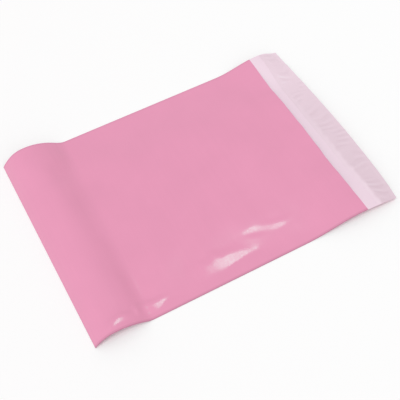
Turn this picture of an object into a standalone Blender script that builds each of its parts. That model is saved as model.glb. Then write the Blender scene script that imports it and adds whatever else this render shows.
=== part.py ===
"""Poly mailer bag, empty and lying mouth side up, with its peel-and-seal flap opened out.

The bag is one web of film, folded at the bottom and welded along both sides. The back ply runs on past the
mouth as the flap. On the flap's inner side lie the adhesive strip and the release liner that covers it.

X runs from the bottom fold to the flap, Y across the bag, Z up. The origin is under the middle of the bag, on
the plane that it lies on. Lengths are in metres.
"""
import math

import bmesh
import bpy

# The bag laid flat
BAG_WIDTH = 0.280
POCKET_DEPTH = 0.356
FLAP_DEPTH = 0.043
FILM = 0.00008

# The side welds: the two plies keep this gap, which the weld fills and stands out of as a bead
PLY_GAP = 0.0001
WELD_WIDTH = 0.004
WELD_BEAD = 0.0002
WELD_BAND = 0.005
WELD_SETBACK = 0.0005

# The loop of film at the bottom fold
FOLD_LOOP = 0.0006
FOLD_RUN = 0.001
FOLD_SPLITS = 3

# The strips on the flap, which were cut through with the film at both sides
ADHESIVE_WIDTH = 0.015
ADHESIVE_THICKNESS = 0.00005
ADHESIVE_SETBACK = 0.003
LINER_WIDTH = 0.027
LINER_THICKNESS = 0.00004
LINER_OVERHANG = 0.001
LAMINATE_GAP = 0.00004

# How the film lies: the roll of the film along the bottom fold, at the near and the far side
NEAR_ROLL_HEIGHT = 0.014
FAR_ROLL_HEIGHT = 0.020
NEAR_ROLL_CREST = 0.027
FAR_ROLL_CREST = 0.032
NEAR_ROLL_FALL = 0.040
FAR_ROLL_FALL = 0.046

# How steeply the roll starts at the fold, and how much of its height its foot is rounded over
ROLL_FULLNESS = 2.4
ROLL_FOOT = 0.30

# The back ply lifts with the welded sides, and comes down to the ground within this distance of them
SIDE_REACH = 0.060

# The near corner of the flap, which curls up with the end of the pocket
NEAR_CURL_HEIGHT = 0.010
NEAR_CURL_CREST = 0.348
NEAR_CURL_RISE = 0.075
NEAR_CURL_FALL = 0.080
NEAR_CURL_REACH = 0.085

# The far corner of the flap
FAR_CURL_HEIGHT = 0.010
FAR_CURL_CREST = 0.370
FAR_CURL_RISE = 0.065
FAR_CURL_FALL = 0.034
FAR_CURL_REACH = 0.060

# The flap's outer edge bows up between its corners
FLAP_BOW = 0.0012

# The air that keeps the front ply off the back ply, and the shallow waves in the front ply
AIR = 0.0090
AIR_SIDE_RUN = 0.075
AIR_FOLD_RUN = 0.060
LONG_WAVE = 0.0004
LONG_WAVE_PITCH = 0.105
LONG_WAVE_LEAN = 0.45
SHORT_WAVE = 0.00015
SHORT_WAVE_PITCH = 0.058
SHORT_WAVE_LEAN = -0.80

# The mouth gapes a little more than the rest of the pocket
MOUTH_GAPE = 0.0015
GAPE_START = 0.260
GAPE_RUN = 0.065

# The size of the facets
FACET_ALONG = 0.0105
FACET_ACROSS = 0.0145

TOTAL_DEPTH = POCKET_DEPTH + FLAP_DEPTH + LINER_OVERHANG
FILM_WIDTH = BAG_WIDTH - 2 * WELD_BEAD
PLY_STACK = 2 * FILM + PLY_GAP

PINK_FILM = (0.800, 0.335, 0.500, 1.0)
CLEAR_ADHESIVE = (0.780, 0.740, 0.690, 1.0)
MILKY_LINER = (0.740, 0.650, 0.690, 1.0)


def smooth(share):
    """Climbs from 0 to 1 as share does, level at both ends."""
    share = min(max(share, 0.0), 1.0)
    return share * share * (3.0 - 2.0 * share)


def hump(place, crest, rise, fall):
    """A rounded wave of height 1 at its crest, which starts the rise before it and ends the fall after it."""
    run = rise if place < crest else fall
    share = min(abs(place - crest) / run, 1.0)
    return 0.5 + 0.5 * math.cos(math.pi * share)


def between(near, far, across):
    """The value at this place across the bag, from the near side's to the far side's."""
    return near + (far - near) * across / FILM_WIDTH


def inside_welds(across):
    """The distance in from the nearer weld band, 0 within it, so that the welds are level across."""
    return max(min(across, FILM_WIDTH - across) - WELD_BAND, 0.0)


def rounded_foot(level):
    """The level itself well above 0 and 0 well below it, with a round bend from one to the other."""
    if abs(level) < ROLL_FOOT:
        return (level + ROLL_FOOT) ** 2 / (4.0 * ROLL_FOOT)
    return max(level, 0.0)


def bottom_roll(depth, across):
    """The height of the roll along the bottom fold: a full round rise to its crest, then an arched fall."""
    height = between(NEAR_ROLL_HEIGHT, FAR_ROLL_HEIGHT, across)
    crest = between(NEAR_ROLL_CREST, FAR_ROLL_CREST, across)
    fall = between(NEAR_ROLL_FALL, FAR_ROLL_FALL, across)
    if depth < crest:
        return height * (1.0 - (1.0 - depth / crest) ** ROLL_FULLNESS)
    return height * rounded_foot(1.0 - ((depth - crest) / fall) ** 2)


def side_share(across):
    """How much of the roll the back ply follows: all of it at the welds, none in the middle."""
    return 1.0 - smooth(inside_welds(across) / SIDE_REACH)


def flap_bend(depth):
    """The rise of the flap at mid width, bent up from the mouth as a strip held at one end bends."""
    share = max(depth - POCKET_DEPTH, 0.0) / FLAP_DEPTH
    return FLAP_BOW * share * share * (3.0 - share) / 2.0


def lie(depth, across):
    """The height of the back ply's outer side over the ground."""
    level_across = min(max(across, WELD_BAND), FILM_WIDTH - WELD_BAND)
    height = bottom_roll(depth, level_across) * side_share(across)
    near = 1.0 - smooth((level_across - WELD_BAND) / NEAR_CURL_REACH)
    height += NEAR_CURL_HEIGHT * near * hump(depth, NEAR_CURL_CREST, NEAR_CURL_RISE, NEAR_CURL_FALL)
    far = 1.0 - smooth((FILM_WIDTH - WELD_BAND - level_across) / FAR_CURL_REACH)
    height += FAR_CURL_HEIGHT * far * hump(depth, FAR_CURL_CREST, FAR_CURL_RISE, FAR_CURL_FALL)
    return height + flap_bend(depth) * math.sin(math.pi * level_across / FILM_WIDTH)


def steepness(depth, across):
    """How much longer the film is than its depth here, since a sloping ply measures that much more upright."""
    step = 0.0005
    slope = (lie(depth + step, across) - lie(depth - step, across)) / (2.0 * step)
    return math.sqrt(1.0 + slope * slope)


def air(depth, across):
    """The height of the front ply over the back ply, past the gap that they keep at the welds."""
    inward = inside_welds(across)
    open_across = smooth(inward / AIR_SIDE_RUN)
    open_along = smooth(depth / AIR_FOLD_RUN)
    long_wave = math.sin(2.0 * math.pi * (depth + LONG_WAVE_LEAN * across) / LONG_WAVE_PITCH)
    short_wave = math.sin(2.0 * math.pi * (depth + SHORT_WAVE_LEAN * across) / SHORT_WAVE_PITCH)
    pillow = FOLD_LOOP + (AIR - FOLD_LOOP + LONG_WAVE * long_wave + SHORT_WAVE * short_wave) * open_along
    pillow += MOUTH_GAPE * smooth((depth - GAPE_START) / GAPE_RUN)
    return pillow * open_across + bottom_roll(depth, across) * (1.0 - side_share(across))


def world(depth, across, height):
    return (depth - TOTAL_DEPTH / 2.0, across - FILM_WIDTH / 2.0, height)


def place_on_web(run, across):
    """The web's outer side. The run along it is less than 0 on the front ply and over 0 on the back ply.

    It is measured from the bottom fold. Within FOLD_RUN of it the film goes round the fold's loop.
    """
    depth = abs(run)
    if depth < FOLD_RUN:
        radius = (PLY_STACK + air(0.0, across)) / 2.0
        turn = run / FOLD_RUN * math.pi / 2.0
        reach = radius * (1.0 - math.cos(turn))
        return world(reach, across, lie(reach, across) + radius * (1.0 - math.sin(turn)) * steepness(reach, across))
    height = lie(depth, across)
    if run < 0.0:
        height += PLY_STACK * steepness(depth, across) + air(depth, across)
    return world(depth, across, height)


def place_over_flap(rise):
    """A surface that lies this far over the flap's outer side."""
    def place(depth, across):
        return world(depth, across, lie(depth, across) + rise * steepness(depth, across))
    return place


def split(start, end, facet):
    """Evenly spaced values from start to end, both included, at most a facet apart."""
    pieces = max(1, math.ceil(abs(end - start) / facet - 1e-6))
    return [start + (end - start) * k / pieces for k in range(pieces + 1)]


def strip_marks():
    """The depths at which the strips on the flap begin and end."""
    flap_edge = POCKET_DEPTH + FLAP_DEPTH
    adhesive_end = flap_edge - ADHESIVE_SETBACK
    return {
        "liner_start": flap_edge + LINER_OVERHANG - LINER_WIDTH,
        "adhesive_start": adhesive_end - ADHESIVE_WIDTH,
        "adhesive_end": adhesive_end,
        "flap_edge": flap_edge,
        "liner_end": flap_edge + LINER_OVERHANG,
    }


def joined(stops, facet):
    """The places from each stop to the next, at most a facet apart, with no place twice."""
    places = stops[:1]
    for start, end in zip(stops, stops[1:]):
        places += split(start, end, facet)[1:]
    return places


def rows_across():
    """The places across the film: one band wide at each weld, and evenly spaced between."""
    return joined([0.0, WELD_BAND, FILM_WIDTH - WELD_BAND, FILM_WIDTH], FACET_ACROSS)


def film_runs():
    marks = strip_marks()
    front = [-depth for depth in split(POCKET_DEPTH, FOLD_RUN, FACET_ALONG)]
    loop = [FOLD_RUN * k / FOLD_SPLITS for k in range(1 - FOLD_SPLITS, FOLD_SPLITS)]
    back = split(FOLD_RUN, POCKET_DEPTH, FACET_ALONG)
    flap_stops = [POCKET_DEPTH] + [marks[name] for name in ("liner_start", "adhesive_start", "adhesive_end", "flap_edge")]
    return front + loop + back + joined(flap_stops, FACET_ALONG)[1:]


def collection(name):
    found = bpy.data.collections.new(name)
    bpy.context.scene.collection.children.link(found)
    return found


def material(name, colour, roughness):
    made = bpy.data.materials.new(name)
    made.use_nodes = True
    shader = made.node_tree.nodes["Principled BSDF"]
    shader.inputs["Base Color"].default_value = colour
    shader.inputs["Roughness"].default_value = roughness
    shader.inputs["Metallic"].default_value = 0.0
    made.diffuse_color = colour
    return made


def laid_sheet(name, runs, rows, place, thickness, grow, home):
    """A flat grid whose columns and rows are laid at these places, given the sheet's thickness by Solidify.

    The grid faces down where the run is over 0, so a grow of -1 thickens it upwards, 0 to both sides.
    """
    mesh = bpy.data.meshes.new(name)
    sheet = bmesh.new()
    bmesh.ops.create_grid(sheet, x_segments=len(runs) - 1, y_segments=len(rows) - 1, size=0.5)
    for vert in sheet.verts:
        column = round((vert.co.x + 0.5) * (len(runs) - 1))
        row = round((vert.co.y + 0.5) * (len(rows) - 1))
        vert.co = place(runs[column], rows[row])
    bmesh.ops.reverse_faces(sheet, faces=sheet.faces)
    bmesh.ops.triangulate(sheet, faces=sheet.faces, quad_method="FIXED")
    sheet.to_mesh(mesh)
    sheet.free()
    mesh.shade_smooth()
    piece = bpy.data.objects.new(name, mesh)
    home.objects.link(piece)
    shell = piece.modifiers.new("thickness", "SOLIDIFY")
    shell.thickness = thickness
    shell.offset = grow
    shell.use_even_offset = True
    return piece


def make_weld(name, start, end, cutters):
    """A side weld, from the middle of one ply to the middle of the other, ready to be joined to the film."""
    depths = [FOLD_RUN / 2.0] + split(FOLD_RUN, POCKET_DEPTH, FACET_ALONG)
    depths[-1] = POCKET_DEPTH - WELD_SETBACK
    middle = place_over_flap(PLY_STACK / 2.0)
    weld = laid_sheet(name, depths, [start, end], middle, FILM + PLY_GAP, 0.0, cutters)
    weld.hide_render = True
    weld.display_type = "WIRE"
    return weld


def make_bag_film(home, cutters):
    """The folded web, with the weld along each side joined to both plies."""
    film = laid_sheet("bag_film", film_runs(), rows_across(), place_on_web, FILM, -1.0, home)
    welds = [
        make_weld("near_weld", -WELD_BEAD, WELD_WIDTH, cutters),
        make_weld("far_weld", FILM_WIDTH - WELD_WIDTH, FILM_WIDTH + WELD_BEAD, cutters),
    ]
    for weld in welds:
        union = film.modifiers.new(weld.name, "BOOLEAN")
        union.operation = "UNION"
        union.solver = "MANIFOLD"
        union.object = weld
    film.data.materials.append(material("pink_film", PINK_FILM, 0.22))


def make_adhesive_strip(home):
    """The band of adhesive on the flap's inner side, just clear of it."""
    marks = strip_marks()
    depths = split(marks["adhesive_start"], marks["adhesive_end"], FACET_ALONG)
    surface = place_over_flap(FILM + LAMINATE_GAP)
    strip = laid_sheet("adhesive_strip", depths, rows_across(), surface, ADHESIVE_THICKNESS, -1.0, home)
    strip.data.materials.append(material("clear_adhesive", CLEAR_ADHESIVE, 0.35))


def make_release_liner(home):
    """The liner over the adhesive, with an edge past the flap's to peel it by."""
    marks = strip_marks()
    stops = [marks[name] for name in ("liner_start", "adhesive_start", "adhesive_end", "flap_edge", "liner_end")]
    surface = place_over_flap(FILM + ADHESIVE_THICKNESS + 2 * LAMINATE_GAP)
    depths = joined(stops, FACET_ALONG)
    liner = laid_sheet("release_liner", depths, rows_across(), surface, LINER_THICKNESS, -1.0, home)
    liner.data.materials.append(material("milky_liner", MILKY_LINER, 0.30))


def main():
    for old in list(bpy.data.objects):
        bpy.data.objects.remove(old, do_unlink=True)
    home = collection("poly_mailer_bag")
    cutters = collection("cutters")
    make_bag_film(home, cutters)
    make_adhesive_strip(home)
    make_release_liner(home)


main()
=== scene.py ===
"""Poly mailer bag: the looks of the film, its side welds, the adhesive strip and the release liner.

Every surface is a function of the depth from the bottom fold and of the place across the bag, worked out on
a grid with numpy. Lengths are in metres. X runs from the bottom fold to the flap, Y across the bag and Z up.
"""

import math

import bpy
import numpy as np
from mathutils import Matrix, Vector


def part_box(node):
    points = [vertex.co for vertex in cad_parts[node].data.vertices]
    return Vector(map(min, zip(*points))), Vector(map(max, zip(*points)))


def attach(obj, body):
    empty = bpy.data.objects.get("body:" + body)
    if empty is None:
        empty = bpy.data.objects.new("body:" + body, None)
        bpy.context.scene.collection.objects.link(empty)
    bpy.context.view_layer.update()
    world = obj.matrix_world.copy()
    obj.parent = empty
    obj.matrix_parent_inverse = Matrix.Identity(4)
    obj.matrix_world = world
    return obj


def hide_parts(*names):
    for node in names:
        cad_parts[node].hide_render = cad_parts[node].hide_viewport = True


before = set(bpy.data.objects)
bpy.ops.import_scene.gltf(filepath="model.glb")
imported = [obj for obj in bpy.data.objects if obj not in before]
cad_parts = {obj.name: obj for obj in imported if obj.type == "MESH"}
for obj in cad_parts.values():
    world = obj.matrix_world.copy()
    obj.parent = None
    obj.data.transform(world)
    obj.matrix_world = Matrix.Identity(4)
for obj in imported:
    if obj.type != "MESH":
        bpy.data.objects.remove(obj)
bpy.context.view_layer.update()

bl_info = {
    "name": "Poly Mailer Bag",
    "version": (1, 0, 0),
    "blender": (4, 5, 0),
    "location": "View3D > Sidebar > Mailer",
    "description": "Makes a flat mailing bag of glossy film with flap, adhesive strip and release liner",
    "category": "Add Mesh",
}

FILM_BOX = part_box("bag_film")
ADHESIVE_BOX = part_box("adhesive_strip")
LINER_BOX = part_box("release_liner")
BAG_START = FILM_BOX[0][0]
BAG_WIDTH = float(FILM_BOX[1][1] - FILM_BOX[0][1])
BAG_LENGTH = float(FILM_BOX[1][0] - FILM_BOX[0][0])
POCKET_DEPTH = 0.358

# The film's seams, as the solids have them
PLY_GAP = 0.0001
WELD_BEAD = 0.0002
WELD_BAND = 0.005
WELD_SETBACK = 0.0005
FOLD_LOOP = 0.0006
FOLD_RUN = 0.001
LAMINATE_GAP = 0.00004

# How the film lies: its roll, curls and long waves are those of the solids
NEAR_ROLL = {"height": 0.014, "crest": 0.027, "fall": 0.040}
FAR_ROLL = {"height": 0.020, "crest": 0.032, "fall": 0.046}
ROLL_FULLNESS = 2.4
ROLL_FOOT = 0.30
SIDE_REACH = 0.060
NEAR_CURL = {"height": 0.010, "crest": 0.348, "rise": 0.075, "fall": 0.080, "reach": 0.085}
FAR_CURL = {"height": 0.010, "crest": 0.370, "rise": 0.065, "fall": 0.034, "reach": 0.060}
AIR_FOLD_RUN = 0.060
LONG_WAVE = {"height": 0.0004, "pitch": 0.105, "lean": 0.45}
SHORT_WAVE = {"height": 0.00015, "pitch": 0.058, "lean": -0.80}
GAPE_START = 0.260
GAPE_RUN = 0.065

# The climb of the front ply from the welds: its run at the edge, its run to the crown, and the edge's share
EDGE_RUN = 0.075
CROWN_RUN = 0.134
EDGE_SHARE = 0.62

# The step over which the back ply's slope is taken
SLOPE_STEP = 0.0005

# Where the front ply is slack on the roll: the reach of its fall over that of the plain one, the share of its
# height that it loses, and the share of the width over which this comes in from the near side
SLACK_REACH = 1.12
SLACK_LOSS = 0.12
SLACK_SPAN = 0.6

# The flap: the power of its arch, and the height of its unevenness, which the noise changes by a share
FLAP_ARCH_POWER = 0.75
FLAP_UNEVEN = 0.00016
FLAP_NOISE_SHARE = 0.5

# The soft noises: the pitch of the waves that each is made of, and its seed. For the swell and the ripple the
# place across counts only by a share, which makes both longer across the bag
SWELL_NOISE = {"pitch": 0.070, "seed": 11}
RIPPLE_NOISE = {"pitch": 0.024, "seed": 23}
LINER_PATCHES = {"pitch": 0.030, "seed": 37}
LINER_BORDER = {"pitch": 0.012, "seed": 41}
DENT_NOISE = {"pitch": 0.022, "seed": 53}
FLAP_NOISE = {"pitch": 0.034, "seed": 71}
SWELL_ACROSS = 0.8
RIPPLE_ACROSS = 0.7

# How far in from the welds and from the bottom fold the unevenness of the front ply reaches its full height,
# and the share of the air under the ply that it may sink by
DETAIL_RUN_ACROSS = 0.030
DETAIL_RUN_ALONG = 0.020
DENT_RUN = 0.0015
PUCKER_RUN_ALONG = 0.004
SINK_SHARE = 0.8

# How much calmer the front ply is within a dent
SWELL_CALM = 0.75
PUCKER_CALM = 0.8

# The wrinkles at the welds: their pitch, the two waves that shift their phase, each with its swing, its
# length over 2 pi and the sign of its start, their least strength and its patches, and their rise and reach
# inward
PUCKER_PITCH = 0.0125
PUCKER_SHIFTS = ((2.6, 0.031, 1.0), (1.4, 0.0119, -1.0))
PUCKER_LEAST = 0.35
PUCKER_PATCH = 0.043
PUCKER_RISE = 0.0022
PUCKER_REACH = {"mean": 0.009, "swing": 0.006, "length": 0.057}
FAR_PUCKER_PHASE = 1.7

# The waves of the mouth's edge: the share and the length, over 2 pi, of the wide wave and of the narrow
# one, how far the wide one's phase swings and over what length, and the length over which they fade
MOUTH_WIDE = {"share": 0.55, "length": 0.0071}
MOUTH_SWING = {"size": 1.1, "length": 0.021}
MOUTH_NARROW = {"share": 0.45, "length": 0.0034, "start": 2.0}
MOUTH_FADE = 0.016

# The liner's cross wrinkles: their lean, their wave's length over 2 pi, how far its phase drifts and sways
# and over what lengths, and their patches of more and less strength
LINER_LEAN = 0.30
LINER_WAVE = 0.0016
LINER_DRIFT = {"size": 2.6, "length": 0.0127}
LINER_SWAY = {"size": 1.3, "along": 0.0052, "across": 0.017}
LINER_STRENGTH = {"mean": 0.55, "swing": 0.75, "most": 1.6}

# The liner's border on the strip, the painted shade in its troughs and its loose outer edge by shares of its
# width, and its tones: over the strip, and before it a painted shade that deepens towards the far side
LINER_STRIP = {"start": 0.10, "run": 0.20, "uneven": 0.02}
# The troughs' tone is painted shade: the wrinkles' troughs take more of the liner's darker colour
TROUGH_SHADE = {"start": 0.12, "run": 0.20, "end_run": 0.25, "tone": 0.22}
LOOSE_EDGE = {
    "height": 0.0005, "start": 0.80, "run": 0.20,
    "mean": 0.6, "swing": 0.4, "length": 0.033, "phase": 1.0,
}
# Before the border the liner's tone is a painted shade that deepens towards the far side
LINER_TONE = {"near": 1.05, "far_loss": 0.85, "off_strip": 0.45, "off_span": 0.6}

# Folds in the front ply: depth, place across, half length, half width, turn in degrees, tilts along and
# across, bend, twist
DENTS = (
    (0.179, 0.0240, 0.036, 0.0130, -9.0, -0.028, 0.108, 0.0, 0.60),
    (0.241, 0.0415, 0.026, 0.0060, -4.0, 0.030, 0.036, 0.0, 0.0),
    (0.087, 0.0130, 0.023, 0.0085, -12.0, -0.099, 0.165, 0.0, 0.0),
    (0.036, 0.0105, 0.017, 0.0065, 13.0, -0.015, 0.165, 14.0, 0.0),
)

# How uneven the edge of a fold is, and the r^2 past which its window counts as 0
DENT_UNEVEN = {"share": 0.14, "least": 0.6, "most": 1.4}
DENT_END = 5.0

# The spacing of the grids
PANEL_STEP = 0.0020
BACK_STEP = 0.0042
FLAP_STEP = 0.0014
ACROSS_STEP = 0.0020
BAND_STEP = 0.00125
LINER_STEP = 0.0008
LINER_STRETCH = 1.6
LOOP_STEPS = 4

# The side seals' look: the two distances in from the film's edge between which the tone comes back, and the
# share of it that is lost outside them
SEAL_BORDER = (0.0024, 0.0032)
SEAL_LOSS = 0.11
BEAD_BORDER = (0.0006, 0.0012)
BEAD_LOSS = 0.18
FAR_SEAL_SHARE = 0.33

# The films' grain: the scales of its clouds, of the die's lines along each axis and of its specks, how much
# of its tone and of its relief the lines make up, the range of its dullness, and the spread of the
# roughness that goes with that
CLOUD_SCALE = 22.0
LINE_SCALES = (420.0, 5.0, 40.0)
SPECK_SCALE = 1400.0
LINES_IN_TONE = 0.25
LINES_IN_RELIEF = 0.65
DULL_RANGE = (0.3, 0.7)
GLOSS_SPREAD = (-0.015, 0.02)

# The Mix node's sockets for each kind of data: both inputs and the output
MIX_SOCKETS = {"RGBA": (6, 7, 2), "VECTOR": (4, 5, 1)}

# The light: the surround's colour where it lights the bag adds up to white with that of both lamps
SURROUND = (0.681, 0.568, 0.606, 1.0)
SOFTBOX = {
    "place": (0.60, 0.00, 1.92),
    "size": (0.18, 0.22),
    "power": 1.9,
    "colour": (0.30, 1.0, 0.77),
    "twist": math.radians(38.0),
}
KEY_LIGHT = {
    "way": (-1.70, -1.50, 4.20),
    "power": 1.40,
    "colour": (0.80, 1.0, 0.93),
    "spread": math.radians(28.0),
}

# The floor: half its side, and how far it lies under the bag
FLOOR_HALF = 4.0
FLOOR_DROP = 0.0003

# The camera of the photograph
CAMERA_PLACE = (-0.26032, -0.52082, 0.82833)
CAMERA_HEADING = math.radians(-26.98)
CAMERA_ELEVATION = math.radians(56.07)
CAMERA_ROLL = math.radians(-1.84)
CAMERA_LENS = 73.68
CAMERA_SENSOR = 36.0
CAMERA_CLIP = 0.01


class MailerSizes(bpy.types.PropertyGroup):
    """The sizes of the bag laid flat."""
    bag_width: bpy.props.FloatProperty(
        name="Bag width", description="Over the side welds", unit="LENGTH", default=BAG_WIDTH)
    pocket_depth: bpy.props.FloatProperty(
        name="Pocket depth", description="From the bottom fold to the mouth", unit="LENGTH",
        default=POCKET_DEPTH)
    flap_depth: bpy.props.FloatProperty(
        name="Flap depth", description="From the mouth to the flap's cut edge", unit="LENGTH",
        default=BAG_LENGTH - POCKET_DEPTH)
    film: bpy.props.FloatProperty(
        name="Film thickness", description="Of one ply", unit="LENGTH", precision=5, default=0.00008)
    weld_width: bpy.props.FloatProperty(
        name="Weld width", description="Of the melted band along each side", unit="LENGTH", default=0.004)
    adhesive_thickness: bpy.props.FloatProperty(
        name="Adhesive thickness", unit="LENGTH", precision=5, default=0.00005,
        description="Of the band of adhesive")
    liner_thickness: bpy.props.FloatProperty(
        name="Liner thickness", unit="LENGTH", precision=5, default=0.00004,
        description="Of the film that covers the adhesive")


class MailerLie(bpy.types.PropertyGroup):
    """How the film lies and how uneven it is."""
    air: bpy.props.FloatProperty(
        name="Air", description="Height of the front ply over the back ply", unit="LENGTH", default=0.0090)
    gape: bpy.props.FloatProperty(
        name="Gape", description="How much higher the mouth stands than the pocket", unit="LENGTH",
        default=0.0)
    flap_bow: bpy.props.FloatProperty(
        name="Flap bow", description="Rise of the flap's outer edge where it is highest", unit="LENGTH",
        default=0.0076)
    flap_reach: bpy.props.FloatProperty(
        name="Flap reach", description="How far out the flap's outer edge bows at most", unit="LENGTH",
        default=0.0027)
    swell: bpy.props.FloatProperty(
        name="Swell", description="Height of the wide unevenness of the front ply", unit="LENGTH",
        precision=5, default=0.00016)
    ripple: bpy.props.FloatProperty(
        name="Ripple", description="Height of the narrow unevenness of the front ply", unit="LENGTH",
        precision=5, default=0.00005)
    pucker: bpy.props.FloatProperty(
        name="Pucker", description="Height of the short wrinkles that the side welds draw", unit="LENGTH",
        precision=5, default=0.00009)
    dent: bpy.props.FloatProperty(
        name="Dents", description="Share of the full height of the dents near the sides", subtype="FACTOR",
        min=0.0, max=1.5, default=1.0)
    mouth_ripple: bpy.props.FloatProperty(
        name="Mouth ripple", description="Height of the waves in the mouth's free edge", unit="LENGTH",
        precision=5, default=0.00045)
    liner_wrinkle: bpy.props.FloatProperty(
        name="Liner wrinkle", description="Height of the cross wrinkles in the liner", unit="LENGTH",
        precision=5, default=0.00045)


class MailerColours(bpy.types.PropertyGroup):
    """The colours of the films and of the ground."""
    outside: bpy.props.FloatVectorProperty(
        name="Outside", description="Pink side of the film", subtype="COLOR", size=4, min=0.0, max=1.0,
        default=(0.780, 0.298, 0.460, 1.0))
    inside: bpy.props.FloatVectorProperty(
        name="Inside", description="White side of the film", subtype="COLOR", size=4, min=0.0, max=1.0,
        default=(0.850, 0.670, 0.765, 1.0))
    adhesive: bpy.props.FloatVectorProperty(
        name="Adhesive", description="Band of adhesive", subtype="COLOR", size=4, min=0.0, max=1.0,
        default=(0.780, 0.620, 0.670, 1.0))
    liner: bpy.props.FloatVectorProperty(
        name="Liner", description="Milky film where it lies dry", subtype="COLOR", size=4, min=0.0, max=1.0,
        default=(0.925, 0.742, 0.835, 1.0))
    # The liner's darker colour: where it lies on the adhesive, and painted shade in its troughs and towards
    # its far side
    wet_and_shaded_liner: bpy.props.FloatVectorProperty(
        name="Wet liner", description="Milky film over the adhesive", subtype="COLOR", size=4,
        min=0.0, max=1.0, default=(0.802, 0.623, 0.706, 1.0))
    floor: bpy.props.FloatVectorProperty(
        name="Floor", description="Ground that the bag lies on", subtype="COLOR", size=4, min=0.0, max=1.0,
        default=(0.975, 0.975, 0.975, 1.0))


def film_width(sizes):
    """The width of the web, without the beads of its welds."""
    return sizes.bag_width - 2.0 * WELD_BEAD


def ply_stack(sizes):
    """The thickness of both plies and of the gap between them where they are welded."""
    return 2.0 * sizes.film + PLY_GAP


def smooth(share):
    """3 s^2 - 2 s^3 of the share, which is kept from 0 to 1: a climb that is level at both ends."""
    share = np.clip(share, 0.0, 1.0)
    return share * share * (3.0 - 2.0 * share)


def hump(place, crest, rise, fall):
    """Half of 1 + cos(pi s), with s the distance from the crest over the rise before or the fall after it."""
    run = np.where(place < crest, rise, fall)
    share = np.minimum(np.abs(place - crest) / run, 1.0)
    return 0.5 + 0.5 * np.cos(math.pi * share)


def soft_noise(x, y, pitch, seed, waves=11):
    """A sum of plane waves cos(k (x cos a + y sin a) + p) of about this pitch, scaled to a spread of 1.

    The directions a, the wave numbers k and the phases p come from the seed.
    """
    draw = np.random.default_rng(seed)
    total = np.zeros(np.broadcast(x, y).shape)
    for angle, pull, phase in draw.uniform((0.0, 0.7, 0.0), (math.pi, 1.45, 2.0 * math.pi), (waves, 3)):
        number = 2.0 * math.pi / (pitch * pull)
        total += np.cos(number * (x * math.cos(angle) + y * math.sin(angle)) + phase)
    return total * math.sqrt(2.0 / waves)


def inside_welds(across, sizes):
    """The distance in from the nearer weld band, and 0 within it."""
    return np.maximum(np.minimum(across, film_width(sizes) - across) - WELD_BAND, 0.0)


def rounded_foot(level):
    """The level l itself above the foot f, 0 below -f, and (l + f)^2 / 4f between."""
    bend = (level + ROLL_FOOT) ** 2 / (4.0 * ROLL_FOOT)
    return np.where(np.abs(level) < ROLL_FOOT, bend, np.maximum(level, 0.0))


def bottom_roll(depth, across, sizes, slack=0.0):
    """The roll along the bottom fold, whose height, crest and fall go evenly from side to side.

    It rises as 1 - (1 - s)^fullness, with s the depth over the crest's, and falls as 1 - t^2 with a rounded
    foot, with t the distance past the crest over the fall. By the slack, a share from 0 to 1, it is lower and
    its fall goes over to half of 1 + cos(pi t / r), with r the slack's reach.
    """
    share = across / film_width(sizes)
    height, crest, fall = (
        NEAR_ROLL[key] + (FAR_ROLL[key] - NEAR_ROLL[key]) * share for key in ("height", "crest", "fall"))
    rise = 1.0 - np.maximum(1.0 - depth / crest, 0.0) ** ROLL_FULLNESS
    past = np.maximum(depth - crest, 0.0) / fall
    easy = 0.5 + 0.5 * np.cos(math.pi * np.minimum(past / SLACK_REACH, 1.0))
    drop = rounded_foot(1.0 - past ** 2) * (1.0 - slack) + easy * slack
    return height * (1.0 - SLACK_LOSS * slack) * np.where(depth < crest, rise, drop)


def side_share(across, sizes):
    """How much of the roll the back ply follows: 1 at the welds, smoothly 0 at the side reach."""
    return 1.0 - smooth(inside_welds(across, sizes) / SIDE_REACH)


def curl(depth, inward, facts):
    """A hump along the depth, times a smooth fall to 0 over its reach inward."""
    fade = 1.0 - smooth(inward / facts["reach"])
    return facts["height"] * fade * hump(depth, facts["crest"], facts["rise"], facts["fall"])


def lie(depth, across, sizes, ways):
    """The height of the back ply's outer side: the roll's share, both curls and the flap's bend and noise.

    The flap bends up by its bow times its arch and s^2 (3 - s) / 2, with s the share of the flap's depth.
    """
    width = film_width(sizes)
    level = np.clip(across, WELD_BAND, width - WELD_BAND)
    height = bottom_roll(depth, level, sizes) * side_share(across, sizes)
    height = height + curl(depth, level - WELD_BAND, NEAR_CURL)
    height = height + curl(depth, width - WELD_BAND - level, FAR_CURL)
    share = flap_share(depth, sizes)
    bend = ways.flap_bow * share * share * (3.0 - share) / 2.0
    noise = 1.0 + FLAP_NOISE_SHARE * soft_noise(depth, level, **FLAP_NOISE)
    return height + bend * flap_arch(level, sizes) + FLAP_UNEVEN * noise * smooth(share)


def flap_share(depth, sizes):
    """The share of the flap's depth that lies before this one: 0 on the pocket and 1 at the cut edge."""
    return np.maximum(depth - sizes.pocket_depth, 0.0) / sizes.flap_depth


def flap_arch(across, sizes):
    """sin(pi w^p), with w the share across and p under 1: an arch that is fuller towards the near side."""
    return np.sin(math.pi * np.clip(across / film_width(sizes), 0.0, 1.0) ** FLAP_ARCH_POWER)


def bowed(depth, across, sizes, ways):
    """The place along the ground: the depth, and on the flap more by the reach times s^2 and its arch."""
    share = flap_share(depth, sizes)
    return depth + ways.flap_reach * share * share * flap_arch(across, sizes)


def steepness(depth, across, sizes, ways):
    """The root of 1 + slope squared, since a sloping ply measures that much more upright."""
    behind, ahead = (lie(depth + step, across, sizes, ways) for step in (-SLOPE_STEP, SLOPE_STEP))
    slope = (ahead - behind) / (2.0 * SLOPE_STEP)
    return np.sqrt(1.0 + slope * slope)


def wave(depth, across, facts):
    """A plane sine wave with this pitch along the depth, leaning across the bag."""
    return facts["height"] * np.sin(2.0 * math.pi * (depth + facts["lean"] * across) / facts["pitch"])


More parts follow.
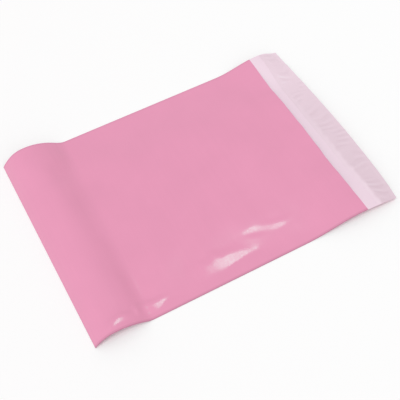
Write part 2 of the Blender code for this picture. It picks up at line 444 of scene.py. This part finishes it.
def air(depth, across, sizes, ways):
    """The height of the front ply over the back ply: the pillow with its waves, and the rest of the roll."""
    inward = inside_welds(across, sizes)
    open_across = EDGE_SHARE * smooth(inward / EDGE_RUN) + (1.0 - EDGE_SHARE) * smooth(inward / CROWN_RUN)
    pillow = ways.air - FOLD_LOOP + wave(depth, across, LONG_WAVE) + wave(depth, across, SHORT_WAVE)
    pillow = FOLD_LOOP + pillow * smooth(depth / AIR_FOLD_RUN)
    pillow = pillow + ways.gape * smooth((depth - GAPE_START) / GAPE_RUN)
    free = 1.0 - side_share(across, sizes)
    slack = free * smooth(across / film_width(sizes) / SLACK_SPAN)
    return pillow * open_across + bottom_roll(depth, across, sizes, slack) * free


def puckers(depth, across, sizes, ways):
    """Short wrinkles square to the welds: a wave along the depth with a wandering pitch, fading inward.

    The height is the sine of the phase, times a patchy strength, 1 - exp(-i / rise) and exp(-i / reach), with
    i the distance in from the weld.
    """
    inward = inside_welds(across, sizes)
    near = across < film_width(sizes) / 2.0
    start = np.where(near, 0.0, FAR_PUCKER_PHASE)
    phase = 2.0 * math.pi * depth / PUCKER_PITCH
    for swing, length, sign in PUCKER_SHIFTS:
        phase = phase + swing * np.sin(depth / length + sign * start)
    strength = PUCKER_LEAST + (1.0 - PUCKER_LEAST) * np.sin(depth / PUCKER_PATCH + 2.0 * start) ** 2
    reach = PUCKER_REACH["mean"] + PUCKER_REACH["swing"] * np.sin(depth / PUCKER_REACH["length"] + start)
    rise = 1.0 - np.exp(-inward / PUCKER_RISE)
    return ways.pucker * strength * np.sin(phase) * rise * np.exp(-inward / reach)


def mouth_waves(depth, across, sizes, ways):
    """Waves of the mouth's free edge, fading away from it into the front ply: a wide and a narrow one."""
    back = sizes.pocket_depth - depth
    swing = MOUTH_SWING["size"] * np.sin(across / MOUTH_SWING["length"])
    wide = np.sin(across / MOUTH_WIDE["length"] + swing)
    narrow = np.sin(across / MOUTH_NARROW["length"] + MOUTH_NARROW["start"])
    shape = MOUTH_WIDE["share"] * wide + MOUTH_NARROW["share"] * narrow
    return ways.mouth_ripple * shape * np.exp(-back / MOUTH_FADE)


def dents(depth, across, ways):
    """The height of shallow folds, and where they lie: exp(-r^4), with r the distance in each one's ellipse.

    Each is p u + q (v + w / 3) + b u^2 / 2 + t u v high times its exp(-r^4), with u and v the distances from
    its middle, p and q its tilts, b its bend, t its twist and w the ellipse's half width. Its edge is uneven:
    r^2 is 1 + a n times the plain one, within limits, with n a soft noise and a its share.
    """
    uneven = 1.0 + DENT_UNEVEN["share"] * soft_noise(depth, across, **DENT_NOISE)
    uneven = np.clip(uneven, DENT_UNEVEN["least"], DENT_UNEVEN["most"])
    height, within = np.zeros(np.shape(depth)), np.zeros(np.shape(depth))
    for start, place, long, wide, turn, along_tilt, across_tilt, bend, twist in DENTS:
        u, v = depth - start, across - place
        cosine, sine = math.cos(math.radians(turn)), math.sin(math.radians(turn))
        level = (((u * cosine + v * sine) / long) ** 2 + ((v * cosine - u * sine) / wide) ** 2) * uneven
        tilted = along_tilt * u + across_tilt * (v + wide / 3.0) + bend * u * u / 2.0 + twist * u * v
        window = np.exp(-np.minimum(level, DENT_END) ** 2)
        height, within = height + tilted * window, within + window
    return ways.dent * height, within


def front_detail(depth, across, sizes, ways):
    """What makes the front ply uneven: wide and narrow swells, dents, puckers and waves at the mouth.

    Their sum sinks the ply by a share of the air under it at most.
    """
    inward = inside_welds(across, sizes)
    open_across = smooth(inward / DETAIL_RUN_ACROSS)
    open_along = smooth(depth / DETAIL_RUN_ALONG)
    swell = ways.swell * soft_noise(depth, SWELL_ACROSS * across, **SWELL_NOISE)
    ripple = ways.ripple * soft_noise(depth, RIPPLE_ACROSS * across, **RIPPLE_NOISE)
    folds, within = dents(depth, across, ways)
    detail = (swell + ripple) * (1.0 - SWELL_CALM * within) + mouth_waves(depth, across, sizes, ways)
    detail = detail * open_across * open_along + folds * smooth(inward / DENT_RUN)
    wrinkles = puckers(depth, across, sizes, ways) * (1.0 - PUCKER_CALM * within)
    detail = detail + wrinkles * smooth(depth / PUCKER_RUN_ALONG)
    return np.maximum(detail, -SINK_SHARE * air(depth, across, sizes, ways))


def on_web(run, across, sizes, ways):
    """Points of the web's outer side. The run is below 0 on the front ply and above 0 on the back ply.

    Within FOLD_RUN of the bottom fold the film goes round a half circle as high as the plies are apart there,
    and follows the slope that the film starts at.
    """
    depth = np.abs(run)
    looped = depth < FOLD_RUN
    height = lie(depth, across, sizes, ways)
    front = ply_stack(sizes) * steepness(depth, across, sizes, ways) + air(depth, across, sizes, ways)
    front = front + front_detail(depth, across, sizes, ways)
    height = height + np.where(run < 0.0, front, 0.0)
    radius = (ply_stack(sizes) + air(0.0, across, sizes, ways)) / 2.0
    turn = np.clip(run / FOLD_RUN, -1.0, 1.0) * math.pi / 2.0
    reach = radius * (1.0 - np.cos(turn))
    over = radius * (1.0 - np.sin(turn)) * steepness(reach, across, sizes, ways)
    loop = lie(reach, across, sizes, ways) + over
    along = np.where(looped, reach, bowed(depth, across, sizes, ways))
    height = np.where(looped, loop, height)
    return along, height


def over_back(depth, across, rise, sizes, ways):
    """The height of a surface that lies this far over the outer side of the back ply or of its flap."""
    return lie(depth, across, sizes, ways) + rise * steepness(depth, across, sizes, ways)


def spaced(start, end, step):
    """Evenly spaced values from start to end, both included, at most a step and a rounding error apart."""
    return np.linspace(start, end, max(2, math.ceil(abs(end - start) / step - 1e-6) + 1))


def chained(stretches):
    """The values of each stretch in turn, with no value twice."""
    return np.concatenate([stretches[0]] + [stretch[1:] for stretch in stretches[1:]])


def rows_across(sizes, step):
    """The places across the web: a step apart, and closer in both weld bands."""
    width = film_width(sizes)
    return chained([
        spaced(0.0, WELD_BAND, BAND_STEP),
        spaced(WELD_BAND, width - WELD_BAND, step),
        spaced(width - WELD_BAND, width, BAND_STEP),
    ])


def grid_object(name, along, across, height, sizes):
    """A grid of quads through these points, facing down where the depth grows with the column.

    The arrays hold one row for each column of the grid. The UV map holds the depth and the place across.
    The edges of the grid, where the film is cut, are sharp.
    """
    columns, rows = height.shape
    points = np.stack([along + BAG_START, across - film_width(sizes) / 2.0, height], axis=-1).reshape(-1, 3)
    first = (np.arange(columns - 1)[:, None] * rows + np.arange(rows - 1)).reshape(-1)
    quads = np.stack([first, first + 1, first + rows + 1, first + rows], axis=1)
    mesh = bpy.data.meshes.new(name)
    mesh.vertices.add(len(points))
    mesh.vertices.foreach_set("co", points.astype(np.float32).reshape(-1))
    mesh.loops.add(quads.size)
    mesh.loops.foreach_set("vertex_index", quads.astype(np.int32).reshape(-1))
    mesh.polygons.add(len(quads))
    mesh.polygons.foreach_set("loop_start", (np.arange(len(quads)) * 4).astype(np.int32))
    mesh.polygons.foreach_set("use_smooth", np.ones(len(quads), dtype=bool))
    mesh.update(calc_edges=True)
    ends = np.empty(2 * len(mesh.edges), dtype=np.int32)
    mesh.edges.foreach_get("vertices", ends)
    column, row = np.divmod(ends.reshape(-1, 2), rows)
    cut = np.all(column == 0, axis=1) | np.all(column == columns - 1, axis=1)
    cut |= np.all(row == 0, axis=1) | np.all(row == rows - 1, axis=1)
    mesh.attributes.new("sharp_edge", "BOOLEAN", "EDGE").data.foreach_set("value", cut)
    flat = np.stack([along, across], axis=-1).reshape(-1, 2)
    layer = mesh.uv_layers.new(name="flat")
    layer.data.foreach_set("uv", flat[quads.reshape(-1)].astype(np.float32).reshape(-1))
    made = bpy.data.objects.new(name, mesh)
    bpy.context.scene.collection.objects.link(made)
    return made


def thicken(piece, thickness, grow, inner=0):
    """Gives the sheet its thickness. The new side and the cut edges take the material this many slots on."""
    shell = piece.modifiers.new("thickness", "SOLIDIFY")
    shell.thickness = thickness
    shell.offset = grow
    shell.use_even_offset = True
    shell.material_offset = inner
    shell.material_offset_rim = inner


def add(tree, kind, inputs=None, **settings):
    """A node of this kind, with its settings, and its inputs set to values or linked from sockets."""
    made = tree.nodes.new(kind)
    for name, value in settings.items():
        setattr(made, name, value)
    for name, value in (inputs or {}).items():
        if isinstance(value, bpy.types.NodeSocket):
            tree.links.new(value, made.inputs[name])
        else:
            made.inputs[name].default_value = value
    return made


def math_value(tree, operation, *values, **settings):
    """The result of a math node on these values or sockets, as a socket."""
    return add(tree, "ShaderNodeMath", dict(enumerate(values)), operation=operation, **settings).outputs[0]


def mixed(tree, kind, share, first, second, **settings):
    """The first colour or vector at a share of 0 and the second at 1, as a socket."""
    low, high, out = MIX_SOCKETS[kind]
    made = add(tree, "ShaderNodeMix", {0: share, low: first, high: second}, data_type=kind, **settings)
    return made.outputs[out]


def film_grain():
    """A node group for blown film: faint clouds, the die's fine lines across the bag, and fine grain."""
    found = bpy.data.node_groups.get("film_grain")
    if found:
        return found
    tree = bpy.data.node_groups.new("film_grain", "ShaderNodeTree")
    tree.interface.new_socket("Place", in_out="INPUT", socket_type="NodeSocketVector")
    for name in ("Tone", "Dull", "Height"):
        tree.interface.new_socket(name, in_out="OUTPUT", socket_type="NodeSocketFloat")
    place = tree.nodes.new("NodeGroupInput").outputs["Place"]
    clouds = add(
        tree, "ShaderNodeTexNoise", {"Vector": place, "Scale": CLOUD_SCALE, "Detail": 3.0, "Roughness": 0.5})
    stretched = add(tree, "ShaderNodeMapping", {"Vector": place, "Scale": LINE_SCALES})
    lines = add(tree, "ShaderNodeTexNoise", {"Vector": stretched.outputs[0], "Scale": 1.0, "Detail": 2.0})
    specks = add(tree, "ShaderNodeTexNoise", {"Vector": place, "Scale": SPECK_SCALE, "Detail": 1.0})
    cloud, line, speck = (texture.outputs["Fac"] for texture in (clouds, lines, specks))
    tone = math_value(tree, "MULTIPLY", cloud, 1.0 - LINES_IN_TONE)
    tone = math_value(tree, "MULTIPLY_ADD", line, LINES_IN_TONE, tone)
    dull = math_value(tree, "MULTIPLY", math_value(tree, "ADD", line, cloud), 0.5)
    height = math_value(tree, "MULTIPLY", speck, 1.0 - LINES_IN_RELIEF)
    height = math_value(tree, "MULTIPLY_ADD", line, LINES_IN_RELIEF, height)
    out = tree.nodes.new("NodeGroupOutput")
    for name, value in (("Tone", tone), ("Dull", dull), ("Height", height)):
        tree.links.new(value, out.inputs[name])
    return tree


def lost_tone(tree, across, half, border, loss):
    """The share of the tone that is lost near the film's edge, and 0 further in than the border.

    The place across is measured from mid width, which is half the width from the edge.
    """
    outer, inner = border
    lost = add(tree, "ShaderNodeMapRange", {
        "Value": across, "From Min": half - inner, "From Max": half - outer, "To Max": loss})
    return lost.outputs[0]


def seal_shade(tree, tone, sizes):
    """The tone, deeper where the plies are melted together: a little in the seal, and more in its bead.

    The UV map gives the depth and the place across, so the seal ends with the pocket. The far seal, pressed
    less, shows a third as much.
    """
    flat = add(
        tree, "ShaderNodeSeparateXYZ", {"Vector": add(tree, "ShaderNodeUVMap", uv_map="flat").outputs[0]})
    half = film_width(sizes) / 2.0
    across = math_value(tree, "ABSOLUTE", math_value(tree, "SUBTRACT", flat.outputs["Y"], half))
    seal = lost_tone(tree, across, half, SEAL_BORDER, SEAL_LOSS)
    bead = lost_tone(tree, across, half, BEAD_BORDER, BEAD_LOSS)
    pocket = math_value(tree, "LESS_THAN", flat.outputs["X"], sizes.pocket_depth)
    side = add(tree, "ShaderNodeMapRange", {
        "Value": flat.outputs["Y"], "From Max": 2.0 * half, "To Min": 1.0, "To Max": FAR_SEAL_SHARE})
    less = math_value(tree, "MULTIPLY", math_value(tree, "ADD", seal, bead), pocket)
    less = math_value(tree, "MULTIPLY", less, side.outputs[0])
    share = math_value(tree, "SUBTRACT", 1.0, less)
    shaded = add(tree, "ShaderNodeVectorMath", {0: tone, "Scale": share}, operation="SCALE")
    return shaded.outputs[0]


def film_material(name, colour, shift, roughness, bump, seal=None, wet_and_shade=None, **shader_values):
    """A glossy film whose colour runs a shift either way of the given one with the grain's tone.

    With the sizes as its seal it is deeper along the side welds. Given its wet_and_shade colour it turns to
    that with the wet_and_shade attribute, where the liner lies on the adhesive and where shade is painted on
    it.
    """
    found = bpy.data.materials.get(name)
    if found:
        return found
    made = bpy.data.materials.new(name)
    made.use_nodes = True
    tree = made.node_tree
    shader = tree.nodes["Principled BSDF"]
    place = add(tree, "ShaderNodeTexCoord").outputs["Object"]
    grain = add(tree, "ShaderNodeGroup", node_tree=film_grain())
    tree.links.new(place, grain.inputs["Place"])
    deep = [channel * (1.0 - shift) for channel in colour[:3]] + [1.0]
    pale = [min(channel * (1.0 + shift), 1.0) for channel in colour[:3]] + [1.0]
    tone = mixed(tree, "RGBA", grain.outputs["Tone"], deep, pale)
    gloss = add(tree, "ShaderNodeMapRange", {
        "Value": grain.outputs["Dull"], "From Min": DULL_RANGE[0], "From Max": DULL_RANGE[1],
        "To Min": roughness + GLOSS_SPREAD[0], "To Max": roughness + GLOSS_SPREAD[1]})
    relief = add(
        tree, "ShaderNodeBump", {"Height": grain.outputs["Height"], "Strength": 1.0, "Distance": bump})
    if seal:
        tone = seal_shade(tree, tone, seal)
    if wet_and_shade:
        # The attribute turns the liner darker where it lies on the adhesive, and paints shade in its troughs
        # and towards its far side
        share = add(tree, "ShaderNodeAttribute", attribute_name="wet_and_shade").outputs["Fac"]
        ratio = [pressed / dry for pressed, dry in zip(wet_and_shade[:3], colour[:3])]
        blend = mixed(tree, "VECTOR", share, (1.0, 1.0, 1.0), ratio, clamp_factor=False)
        tone = add(tree, "ShaderNodeVectorMath", {0: tone, 1: blend}, operation="MULTIPLY").outputs[0]
    tree.links.new(tone, shader.inputs["Base Color"])
    tree.links.new(gloss.outputs[0], shader.inputs["Roughness"])
    tree.links.new(relief.outputs[0], shader.inputs["Normal"])
    for socket, value in shader_values.items():
        shader.inputs[socket.replace("_", " ")].default_value = value
    made.diffuse_color = colour[:3] + [1.0]
    return made


def pink_film(colours, sizes):
    """The outer side of the film, glossy and pink."""
    return film_material(
        "film_outside", list(colours.outside), shift=0.050, roughness=0.185, bump=0.000003,
        seal=sizes, IOR=1.51)


def white_film(colours):
    """The inner side of the film, duller and white with a little pink."""
    return film_material(
        "film_inside", list(colours.inside), shift=0.012, roughness=0.30, bump=0.000006, IOR=1.51)


def adhesive_band(colours):
    """The hot-melt adhesive, a little deeper in tone than the film under it."""
    return film_material(
        "adhesive_band", list(colours.adhesive), shift=0.03, roughness=0.38, bump=0.000008, IOR=1.48)


def liner_film(colours):
    """The milky liner, a little see-through."""
    # It turns darker where it lies on the adhesive, and with painted shade in its troughs and towards its far
    # side
    return film_material(
        "liner_film", list(colours.liner), shift=0.012, roughness=0.30, bump=0.000006,
        wet_and_shade=list(colours.wet_and_shaded_liner), IOR=1.49, Alpha=0.92)


def liner_wrinkles(depth, across, start, end, sizes, ways):
    """The lift of the slack liner, and how much of its tone over the adhesive shows, with painted shade
    added.

    The lift is that of leaning cross waves, (1 + sin)^2 / 4 high, and of an outer edge that comes loose.
    Over the strip, whose border is uneven, the tone is a - b w^2, with w the share across. As painted shade
    it is more in the narrow troughs, (1 - sin)^5 / 32. Before the border it is up to c, towards the far side,
    as painted shade. LINER_TONE holds a, b and c.
    """
    share = (depth - start) / (end - start)
    lean = across + LINER_LEAN * depth
    drift = LINER_DRIFT["size"] * np.sin(lean / LINER_DRIFT["length"])
    sway = LINER_SWAY["size"] * np.sin(depth / LINER_SWAY["along"] + lean / LINER_SWAY["across"])
    phase = lean / LINER_WAVE + drift + sway
    patches = LINER_STRENGTH["mean"] + LINER_STRENGTH["swing"] * soft_noise(depth, across, **LINER_PATCHES)
    patches = np.clip(patches, 0.0, LINER_STRENGTH["most"])
    border = LINER_STRIP["start"] + LINER_STRIP["uneven"] * soft_noise(depth, across, **LINER_BORDER)
    over_strip = smooth((share - border) / LINER_STRIP["run"])
    wrinkle = ways.liner_wrinkle * patches * (0.5 + 0.5 * np.sin(phase)) ** 2 * over_strip
    loose = np.sin(across / LOOSE_EDGE["length"] + LOOSE_EDGE["phase"])
    loose = LOOSE_EDGE["mean"] + LOOSE_EDGE["swing"] * loose
    loose = loose * LOOSE_EDGE["height"] * smooth((share - LOOSE_EDGE["start"]) / LOOSE_EDGE["run"])
    ends = smooth((share - TROUGH_SHADE["start"]) / TROUGH_SHADE["run"])
    ends = ends * smooth((1.0 - share) / TROUGH_SHADE["end_run"])
    # Painted shade: the wrinkles' troughs take more of the liner's darker colour
    trough_shade = (0.5 - 0.5 * np.sin(phase)) ** 5 * patches * ends
    far = across / film_width(sizes)
    pressed = over_strip * (LINER_TONE["near"] - LINER_TONE["far_loss"] * far ** 2)
    # Painted shade: before the border the liner darkens towards the far side
    off_strip = LINER_TONE["off_strip"] * smooth(far / LINER_TONE["off_span"])
    return wrinkle + loose, pressed + (1.0 - over_strip) * off_strip + TROUGH_SHADE["tone"] * trough_shade


def chosen(scene):
    """The bag's sizes, how it lies and its colours."""
    return scene.mailer_sizes, scene.mailer_lie, scene.mailer_colours


class MAILER_OT_film_web(bpy.types.Operator):
    """Makes the folded web of film: front ply, bottom fold, back ply and flap"""
    bl_idname = "mailer.film_web"
    bl_label = "Film web"

    def execute(self, context):
        sizes, ways, colours = chosen(context.scene)
        edge = sizes.pocket_depth + sizes.flap_depth
        runs = chained([
            -spaced(sizes.pocket_depth, FOLD_RUN, PANEL_STEP),
            np.linspace(-FOLD_RUN, FOLD_RUN, 2 * LOOP_STEPS + 1),
            spaced(FOLD_RUN, sizes.pocket_depth, BACK_STEP),
            spaced(sizes.pocket_depth, edge, FLAP_STEP),
        ])
        run, across = np.meshgrid(runs, rows_across(sizes, ACROSS_STEP), indexing="ij")
        along, height = on_web(run, across, sizes, ways)
        web = grid_object("film_web", along, across, height, sizes)
        thicken(web, sizes.film, -1.0, inner=1)
        web.data.materials.append(pink_film(colours, sizes))
        web.data.materials.append(white_film(colours))
        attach(web, "root")
        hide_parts("bag_film")
        return {"FINISHED"}


class MAILER_OT_side_welds(bpy.types.Operator):
    """Makes the melted weld and its bead along each side of the pocket"""
    bl_idname = "mailer.side_welds"
    bl_label = "Side welds"

    def execute(self, context):
        sizes, ways, colours = chosen(context.scene)
        width = film_width(sizes)
        depths = spaced(FOLD_RUN / 2.0, sizes.pocket_depth - WELD_SETBACK, PANEL_STEP)
        for name, start, end in (
            ("near_weld", -WELD_BEAD, sizes.weld_width),
            ("far_weld", width - sizes.weld_width, width + WELD_BEAD),
        ):
            depth, across = np.meshgrid(depths, spaced(start, end, BAND_STEP), indexing="ij")
            height = over_back(depth, across, ply_stack(sizes) / 2.0, sizes, ways)
            weld = grid_object(name, depth, across, height, sizes)
            thicken(weld, sizes.film + PLY_GAP, 0.0)
            weld.data.materials.append(pink_film(colours, sizes))
            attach(weld, "root")
            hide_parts("bag_film")
        return {"FINISHED"}


class MAILER_OT_adhesive_strip(bpy.types.Operator):
    """Makes the band of adhesive on the flap's inner side"""
    bl_idname = "mailer.adhesive_strip"
    bl_label = "Adhesive strip"

    def execute(self, context):
        sizes, ways, colours = chosen(context.scene)
        depths = spaced(ADHESIVE_BOX[0][0] - BAG_START, ADHESIVE_BOX[1][0] - BAG_START, FLAP_STEP)
        depth, across = np.meshgrid(depths, rows_across(sizes, ACROSS_STEP), indexing="ij")
        height = over_back(depth, across, sizes.film + LAMINATE_GAP, sizes, ways)
        strip = grid_object("adhesive", bowed(depth, across, sizes, ways), across, height, sizes)
        thicken(strip, sizes.adhesive_thickness, -1.0)
        strip.data.materials.append(adhesive_band(colours))
        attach(strip, "root")
        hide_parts("adhesive_strip")
        return {"FINISHED"}


class MAILER_OT_release_liner(bpy.types.Operator):
    """Makes the milky liner over the adhesive, with its cross wrinkles and its loose outer edge"""
    bl_idname = "mailer.release_liner"
    bl_label = "Release liner"

    def execute(self, context):
        sizes, ways, colours = chosen(context.scene)
        start, end = LINER_BOX[0][0] - BAG_START, LINER_BOX[1][0] - BAG_START
        rows = rows_across(sizes, LINER_STEP * LINER_STRETCH)
        depth, across = np.meshgrid(spaced(start, end, LINER_STEP), rows, indexing="ij")
        onto_strip = smooth((depth - start) / (ADHESIVE_BOX[0][0] - BAG_START - start))
        rise = sizes.film + LAMINATE_GAP + (sizes.adhesive_thickness + LAMINATE_GAP) * onto_strip
        lift, wet_and_shade = liner_wrinkles(depth, across, start, end, sizes, ways)
        height = over_back(depth, across, rise, sizes, ways) + lift
        liner = grid_object("liner", bowed(depth, across, sizes, ways), across, height, sizes)
        # The attribute holds the darker tone over the adhesive, and the painted shade in the troughs and
        # towards the far side
        layer = liner.data.attributes.new("wet_and_shade", "FLOAT", "POINT")
        layer.data.foreach_set("value", wet_and_shade.astype(np.float32).reshape(-1))
        thicken(liner, sizes.liner_thickness, -1.0)
        liner.data.materials.append(liner_film(colours))
        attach(liner, "root")
        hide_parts("release_liner")
        return {"FINISHED"}


class MAILER_OT_stage(bpy.types.Operator):
    """Makes the pale floor, the soft light and the camera"""
    bl_idname = "mailer.stage"
    bl_label = "Stage"

    def execute(self, context):
        scene = context.scene
        make_floor(scene, scene.mailer_colours)
        make_world(scene)
        make_lamp("overhead_softbox", **SOFTBOX)
        make_sky_lamp("key_light", **KEY_LIGHT)
        make_camera(scene)
        scene.view_settings.view_transform = "Standard"
        return {"FINISHED"}


def make_floor(scene, colours):
    """A wide, dull floor just under the bag, whose colour comes up to white where nothing shades it."""
    mesh = bpy.data.meshes.new("floor")
    corners = [(x * FLOOR_HALF, y * FLOOR_HALF, -FLOOR_DROP) for x, y in ((-1, -1), (1, -1), (1, 1), (-1, 1))]
    mesh.from_pydata(corners, [], [(0, 1, 2, 3)])
    floor = bpy.data.objects.new("floor", mesh)
    scene.collection.objects.link(floor)
    made = bpy.data.materials.new("floor")
    made.use_nodes = True
    shader = made.node_tree.nodes["Principled BSDF"]
    shader.inputs["Base Color"].default_value = colours.floor
    shader.inputs["Roughness"].default_value = 0.9
    shader.inputs["Specular IOR Level"].default_value = 0.0
    mesh.materials.append(made)


def make_world(scene):
    """An even surround, white where the camera, gloss or clear film sees it, and else of its own colour."""
    world = bpy.data.worlds.new("surround")
    scene.world = world
    world.use_nodes = True
    tree = world.node_tree
    paths = add(tree, "ShaderNodeLightPath")
    seen = math_value(tree, "ADD", paths.outputs["Is Camera Ray"], paths.outputs["Is Glossy Ray"])
    seen = math_value(tree, "ADD", seen, paths.outputs["Is Transmission Ray"], use_clamp=True)
    colour = mixed(tree, "RGBA", seen, SURROUND, (1.0, 1.0, 1.0, 1.0))
    tree.links.new(colour, tree.nodes["Background"].inputs["Color"])


def make_lamp(name, place, size, power, colour, twist):
    """A rectangular softbox at this place, faced to the bag and then turned about the upright."""
    light = bpy.data.lights.new(name, "AREA")
    light.shape = "RECTANGLE"
    light.size, light.size_y = size
    light.energy = power
    light.color = colour
    lamp = bpy.data.objects.new(name, light)
    lamp.location = place
    faced = (-Vector(place)).to_track_quat("-Z", "Y").to_matrix()
    lamp.rotation_euler = (Matrix.Rotation(twist, 3, "Z") @ faced).to_euler()
    bpy.context.scene.collection.objects.link(lamp)


def make_sky_lamp(name, way, power, colour, spread):
    """A distant light from this direction, as soft as one with this spread in the sky."""
    light = bpy.data.lights.new(name, "SUN")
    light.energy = power
    light.color = colour
    light.angle = spread
    lamp = bpy.data.objects.new(name, light)
    lamp.rotation_euler = (-Vector(way)).to_track_quat("-Z", "Y").to_euler()
    bpy.context.scene.collection.objects.link(lamp)


def make_camera(scene):
    """The photograph's camera: it looks down by its elevation, with its heading from +Y and a little roll."""
    back = Vector((
        math.sin(CAMERA_HEADING) * math.cos(CAMERA_ELEVATION),
        -math.cos(CAMERA_HEADING) * math.cos(CAMERA_ELEVATION),
        math.sin(CAMERA_ELEVATION)))
    right = Vector((0.0, 0.0, 1.0)).cross(back).normalized()
    up = back.cross(right)
    rolled_right = math.cos(CAMERA_ROLL) * right + math.sin(CAMERA_ROLL) * up
    rolled_up = math.cos(CAMERA_ROLL) * up - math.sin(CAMERA_ROLL) * right
    turn = Matrix((rolled_right, rolled_up, back)).transposed().to_4x4()
    lens = bpy.data.cameras.new("camera")
    lens.lens = CAMERA_LENS
    lens.sensor_width = CAMERA_SENSOR
    lens.clip_start = CAMERA_CLIP
    camera = bpy.data.objects.new("camera", lens)
    camera.matrix_world = Matrix.Translation(CAMERA_PLACE) @ turn
    scene.collection.objects.link(camera)
    scene.camera = camera


class MAILER_PT_panel(bpy.types.Panel):
    """The bag's sizes, lie and colours, and a button for each piece"""
    bl_idname = "MAILER_PT_panel"
    bl_label = "Poly mailer bag"
    bl_space_type = "VIEW_3D"
    bl_region_type = "UI"
    bl_category = "Mailer"

    def draw(self, context):
        scene = context.scene
        for group in (scene.mailer_sizes, scene.mailer_lie, scene.mailer_colours):
            box = self.layout.box()
            for name in group.__annotations__:
                box.prop(group, name)
        for piece in PIECES:
            self.layout.operator(piece.bl_idname)


GROUPS = (MailerSizes, MailerLie, MailerColours)
PIECES = (
    MAILER_OT_film_web,
    MAILER_OT_side_welds,
    MAILER_OT_adhesive_strip,
    MAILER_OT_release_liner,
    MAILER_OT_stage,
)
CLASSES = GROUPS + PIECES + (MAILER_PT_panel,)


def register():
    """Registers the classes and gives the scene the three groups of values."""
    for kind in CLASSES:
        bpy.utils.register_class(kind)
    bpy.types.Scene.mailer_sizes = bpy.props.PointerProperty(type=MailerSizes)
    bpy.types.Scene.mailer_lie = bpy.props.PointerProperty(type=MailerLie)
    bpy.types.Scene.mailer_colours = bpy.props.PointerProperty(type=MailerColours)


def unregister():
    """Takes the groups off the scene and the classes out again."""
    del bpy.types.Scene.mailer_colours
    del bpy.types.Scene.mailer_lie
    del bpy.types.Scene.mailer_sizes
    for kind in reversed(CLASSES):
        bpy.utils.unregister_class(kind)


def main():
    """Makes the bag and its stage."""
    register()
    bpy.ops.mailer.film_web()
    bpy.ops.mailer.side_welds()
    bpy.ops.mailer.adhesive_strip()
    bpy.ops.mailer.release_liner()
    bpy.ops.mailer.stage()


if __name__ == "__main__":
    main()
